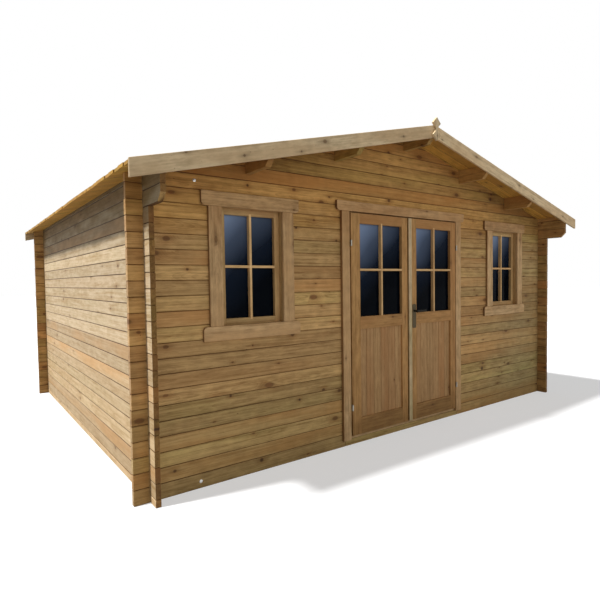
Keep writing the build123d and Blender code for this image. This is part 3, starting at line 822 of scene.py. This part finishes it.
def pane(name, left, top):
    """Float glass before a dark room, with a painted reflection of pale sky in its upper left corner, fading
    to nearly black low down.
    """
    material = bpy.data.materials.new(name)
    material.use_nodes = True
    nodes, link = material.node_tree.nodes, material.node_tree.links.new
    glass = nodes["Principled BSDF"]
    where = nodes.new("ShaderNodeTexCoord")
    corner = nodes.new("ShaderNodeMapping")
    corner.inputs["Location"].default_value = (-left, 0, -top)
    link(where.outputs["Object"], corner.inputs["Vector"])
    fall = nodes.new("ShaderNodeVectorMath")
    fall.operation = "DOT_PRODUCT"
    link(corner.outputs[0], fall.inputs[0])
    fall.inputs[1].default_value = (-1.15, 0, 1.35)
    cloud = nodes.new("ShaderNodeTexNoise")
    cloud.inputs["Scale"].default_value = 2.2
    cloud.inputs["Detail"].default_value = 1.0
    link(where.outputs["Object"], cloud.inputs["Vector"])
    light = nodes.new("ShaderNodeMath")
    light.operation = "MULTIPLY_ADD"
    link(cloud.outputs["Fac"], light.inputs[0])
    light.inputs[1].default_value = 0.3
    link(fall.outputs["Value"], light.inputs[2])
    share = nodes.new("ShaderNodeMapRange")
    share.inputs["From Min"].default_value = -0.85
    share.inputs["From Max"].default_value = 0.15
    link(light.outputs[0], share.inputs["Value"])
    # The painted reflection, from nearly black to pale sky.
    ramp = nodes.new("ShaderNodeValToRGB")
    ramp.color_ramp.elements[0].color = (0.0015, 0.0028, 0.0055, 1)
    ramp.color_ramp.elements[1].color = (0.30, 0.40, 0.60, 1)
    for at, colour in ((0.35, (0.011, 0.018, 0.034, 1)), (0.65, (0.085, 0.115, 0.18, 1))):
        ramp.color_ramp.elements.new(at).color = colour
    link(share.outputs[0], ramp.inputs["Fac"])
    link(ramp.outputs["Color"], glass.inputs["Base Color"])
    glass.inputs["Roughness"].default_value = 0.04
    glass.inputs["Specular IOR Level"].default_value = 0.015
    glass.inputs["Alpha"].default_value = 0.94
    return material


for side in ("left", "right"):
    node = "window_sash_" + side
    low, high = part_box(node)
    pane_low, pane_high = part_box("window_glass_" + side)
    sight = (pane_low.x + grip, pane_high.x - grip, pane_low.z + grip, pane_high.z - grip)
    bm = rough_timber(node)
    saw(bm, X, sight[0])
    saw(bm, X, sight[1])
    ease_edges(bm, 0.0015)
    lay_grain(bm, draw)
    finished(bm, "sash_" + side, node, "shed", sash_pine)
    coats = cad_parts["window_glass_" + side].data.materials
    coats.clear()
    coats.append(pane("glass_window_" + side, sight[0], sight[3]))
    rails, glued = (low.y, high.y), (pane_low.y, pane_high.y)
    lap = (bar_lap, bar_lap)
    glazing_bars("window_bars_" + side, sight, bar_level, lap, rails, glued, "shed")

# Door leaves. Stiles and rails 40 mm thick, glazed above with a cross of bars and boarded below.
# The boards are tongued and grooved and stand upright. A cover strip closes the joint between the leaves.
door_pine = pine(
    "door_pine", (0.545, 0.298, 0.110), (0.305, 0.151, 0.048), (0.425, 0.192, 0.061),
    knot_share=0.15, knot_size=0.009, spread=0.22, greening=0.25, planing=0.12,
    weather_and_light=(("z", 0.34, 0.12, (0.70, 0.68, 0.62)),),
)
board_pine = pine(
    "door_board_pine", (0.545, 0.32, 0.142), (0.32, 0.172, 0.066), (0.43, 0.207, 0.076),
    knot_share=0.15, knot_size=0.008, spread=0.1, greening=0.15, figure=0.7, planing=0.1,
    joint_shade_tone=(0.62, 0.55, 0.46),
)
strip_pine = pine(
    "strip_pine", (0.72, 0.53, 0.32), (0.48, 0.34, 0.19), (0.55, 0.37, 0.20), knot_share=0.1, spread=0.1,
)
leaf_bar_level = 1.4285
leaf_bar_lap = 0.010       # over the top rail only
panel_boards = 6           # each with a V down its middle
panel_v = 0.002
draw = random.Random(71)
for side, sign in (("left", -1), ("right", 1)):
    node, body = "door_leaf_" + side, side + "_door"
    low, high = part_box(node)
    pane_low, pane_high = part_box("door_glass_" + side)
    sight = (pane_low.x + grip, pane_high.x - grip, pane_low.z + grip, pane_high.z - grip)
    bm = rough_timber(node)
    saw(bm, X, sight[0])
    saw(bm, X, sight[1])
    ease_edges(bm, 0.0018)
    lay_grain(bm, draw)
    finished(bm, "leaf_" + side, node, body, door_pine)
    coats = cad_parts["door_glass_" + side].data.materials
    coats.clear()
    coats.append(pane("glass_door_" + side, sight[0], sight[3]))
    rails, glued = (low.y, high.y), (pane_low.y, pane_high.y)
    lap = (0.0, leaf_bar_lap)
    glazing_bars("door_bars_" + side, sight, leaf_bar_level, lap, rails, glued, body)
    node = "door_panel_" + side
    low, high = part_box(node)
    width = (high.x - low.x) / panel_boards
    thick = high.y - low.y
    w, v = width / 2 - joint_play, panel_v
    outline = [(-w, v), (-w + v, 0), (-v, 0), (0, v * 0.8), (v, 0), (w - v, 0), (w, v)]
    outline += [(w, thick - v), (w - v, thick), (-w + v, thick), (-w, thick - v)]
    start = Vector((low.x + width / 2, low.y, low.z))
    bm = moulded_board(outline, Z, start, high.z - low.z, X, Y)
    step = Vector((width, 0, 0))
    name = "panel_boards_" + side
    board_row(name, bm, panel_boards, step, start, 0.0, 40 + sign, board_pine, node, body)
bm = rough_timber("door_astragal")
ease_edges(bm, 0.004, 3)
lay_grain(bm, draw)
finished(bm, "cover_strip", "door_astragal", "right_door", strip_pine)


# Hinges, lock plates and lever. Butt hinges of plated steel, a knuckle on the leaf and one on the jamb,
# turn on loose pins. Dark long plates are screwed on both sides of the right leaf and carry the lever.
def worn_metal(name, colour, dull, rough):
    """Plated steel, a little cloudy, duller in patches."""
    material = bpy.data.materials.new(name)
    material.use_nodes = True
    nodes, link = material.node_tree.nodes, material.node_tree.links.new
    metal = nodes["Principled BSDF"]
    where = nodes.new("ShaderNodeTexCoord")
    cloud = nodes.new("ShaderNodeTexNoise")
    cloud.inputs["Scale"].default_value = 90.0
    cloud.inputs["Detail"].default_value = 4.0
    link(where.outputs["Object"], cloud.inputs["Vector"])
    mix = nodes.new("ShaderNodeMix")
    mix.data_type = "RGBA"
    mix.inputs[6].default_value = (*colour, 1)
    mix.inputs[7].default_value = (*dull, 1)
    link(cloud.outputs["Fac"], mix.inputs[0])
    link(mix.outputs[2], metal.inputs["Base Color"])
    metal.inputs["Metallic"].default_value = 1.0
    rub = nodes.new("ShaderNodeMapRange")
    rub.inputs["To Min"].default_value = rough - 0.1
    rub.inputs["To Max"].default_value = rough + 0.12
    link(cloud.outputs["Fac"], rub.inputs["Value"])
    link(rub.outputs[0], metal.inputs["Roughness"])
    return material


hinge_steel = worn_metal("hinge_steel", (0.42, 0.39, 0.33), (0.22, 0.20, 0.17), 0.4)
plate_metal = worn_metal("lock_plate_metal", (0.105, 0.080, 0.043), (0.060, 0.046, 0.027), 0.6)
lever_metal = worn_metal("lever_metal", (0.024, 0.022, 0.017), (0.013, 0.012, 0.009), 0.55)
for name, node, body, slot, metal in (
    ("leaf_knuckles_left", "door_hinges_left", "left_door", "hinge_steel", hinge_steel),
    ("leaf_knuckles_right", "door_hinges_right", "right_door", "hinge_steel", hinge_steel),
    ("frame_knuckles", "frame_hinges", "shed", "hinge_steel", hinge_steel),
    ("long_plates", "lock_plates", "right_door", "lock_metal", plate_metal),
    ("lever", "lever_handle", "lever", "lock_metal", lever_metal),
):
    bm = rough_timber(node)
    finished(bm, name, node, body, metal, smooth=True)

# Anchor bolts. Zinc plated bolts through the top and the bottom log near the left corner of the front wall.
# They tie the stack of logs together. Of each one a round head on a washer shows.
bolt_zinc = worn_metal("bolt_zinc", (0.80, 0.80, 0.78), (0.55, 0.55, 0.53), 0.3)
bolt_x = -1.995
bolt_low, bolt_rise = 0.045, 1.951
corners = 16
turn = [2 * math.pi * k / corners for k in range(corners)]
head = bmesh.new()
rings = []                 # the washer's edge, then the round head
for radius, proud in ((0.011, 0.0), (0.011, 0.0015), (0.0075, 0.0018), (0.0072, 0.004), (0.005, 0.006)):
    spots = [(bolt_x + radius * math.cos(a), front_y - proud, bolt_low + radius * math.sin(a)) for a in turn]
    rings.append([head.verts.new(spot) for spot in spots])
for a, b in zip(rings, rings[1:]):
    for k in range(corners):
        head.faces.new((a[k], a[(k + 1) % corners], b[(k + 1) % corners], b[k]))
head.faces.new(rings[0])
head.faces.new(rings[-1])
bmesh.ops.recalc_face_normals(head, faces=head.faces)
step, still = Vector((0, 0, bolt_rise)), Vector((0, 0, 0))
board_row("bolts", head, 2, step, still, 0.0, 3, bolt_zinc, None, "shed")

# The picture. The camera stands where the photographer stood, before a pale floor and a white surround,
# which look bright but throw back little light. A small soft sun from the upper left lights the side wall,
# and a weak broad one lights the front.
camera = bpy.data.objects.new("camera", bpy.data.cameras.new("camera"))
bpy.context.scene.collection.objects.link(camera)
bpy.context.scene.camera = camera
camera.data.lens = 28.5508
camera.data.sensor_width = 36
turn, dip, roll = (math.radians(a) for a in (36.2247, 2.2253, -0.8347))
look = Vector((math.sin(turn) * math.cos(dip), math.cos(turn) * math.cos(dip), -math.sin(dip)))
level = Vector((math.cos(turn), -math.sin(turn), 0))
upward = level.cross(look)
right = level * math.cos(roll) + upward * math.sin(roll)
top = upward * math.cos(roll) - level * math.sin(roll)
place = Matrix((right, top, -look)).transposed().to_4x4()
place.translation = (-3.2696, -4.6887, 1.3400)
camera.matrix_world = place

floor_mesh = bpy.data.meshes.new("floor")
reach = 60
floor_corners = [(-reach, -reach, 0), (reach, -reach, 0), (reach, reach, 0), (-reach, reach, 0)]
floor_mesh.from_pydata(floor_corners, [], [(0, 1, 2, 3)])
floor = bpy.data.objects.new("floor", floor_mesh)
bpy.context.scene.collection.objects.link(floor)
pale_floor = bpy.data.materials.new("pale_floor")
pale_floor.use_nodes = True
nodes, link = pale_floor.node_tree.nodes, pale_floor.node_tree.links.new


def seen_directly(nodes, link):
    """1 for what the camera sees, itself or in a mirror or through glass, and 0 for light on its way."""
    path = nodes.new("ShaderNodeLightPath")
    total = path.outputs["Is Camera Ray"]
    for kind in ("Is Glossy Ray", "Is Transmission Ray"):
        node = nodes.new("ShaderNodeMath")
        node.operation = "MAXIMUM"
        link(total, node.inputs[0])
        link(path.outputs[kind], node.inputs[1])
        total = node.outputs[0]
    return total


matt = nodes.new("ShaderNodeBsdfDiffuse")
matt.inputs["Color"].default_value = (0.80, 0.80, 0.80, 1)
white = nodes.new("ShaderNodeEmission")
lifted = nodes.new("ShaderNodeMixShader")
lifted.inputs[0].default_value = 0.5
link(matt.outputs[0], lifted.inputs[1])
link(white.outputs[0], lifted.inputs[2])
dim = nodes.new("ShaderNodeBsdfDiffuse")
dim.inputs["Color"].default_value = (0.22, 0.22, 0.22, 1)
choice = nodes.new("ShaderNodeMixShader")
link(seen_directly(nodes, link), choice.inputs[0])
link(dim.outputs[0], choice.inputs[1])
link(lifted.outputs[0], choice.inputs[2])
link(choice.outputs[0], nodes["Material Output"].inputs["Surface"])
nodes.remove(nodes["Principled BSDF"])
floor_mesh.materials.append(pale_floor)

lamp = bpy.data.objects.new("lamp", bpy.data.lights.new("lamp", "SUN"))
lamp.data.energy = 6.3
lamp.data.angle = math.radians(4)
bpy.context.scene.collection.objects.link(lamp)
lamp.rotation_mode = "QUATERNION"
lamp.rotation_quaternion = Vector((0.455, -0.10, -0.869)).to_track_quat("-Z", "Y")

fill = bpy.data.objects.new("fill", bpy.data.lights.new("fill", "SUN"))
fill.data.energy = 0.75
fill.data.angle = math.radians(50)
fill.visible_glossy = False
bpy.context.scene.collection.objects.link(fill)
fill.rotation_mode = "QUATERNION"
fill.rotation_quaternion = Vector((-0.15, 0.97, -0.15)).to_track_quat("-Z", "Y")

world = bpy.data.worlds.new("surround")
bpy.context.scene.world = world
world.use_nodes = True
nodes, link = world.node_tree.nodes, world.node_tree.links.new
sky = nodes["Background"]
sky.inputs["Color"].default_value = (1, 1, 1, 1)
strength = nodes.new("ShaderNodeMapRange")
strength.inputs["To Min"].default_value = 0.22
strength.inputs["To Max"].default_value = 1.0
link(seen_directly(nodes, link), strength.inputs["Value"])
link(strength.outputs[0], sky.inputs["Strength"])
bpy.context.scene.view_settings.view_transform = "Standard"
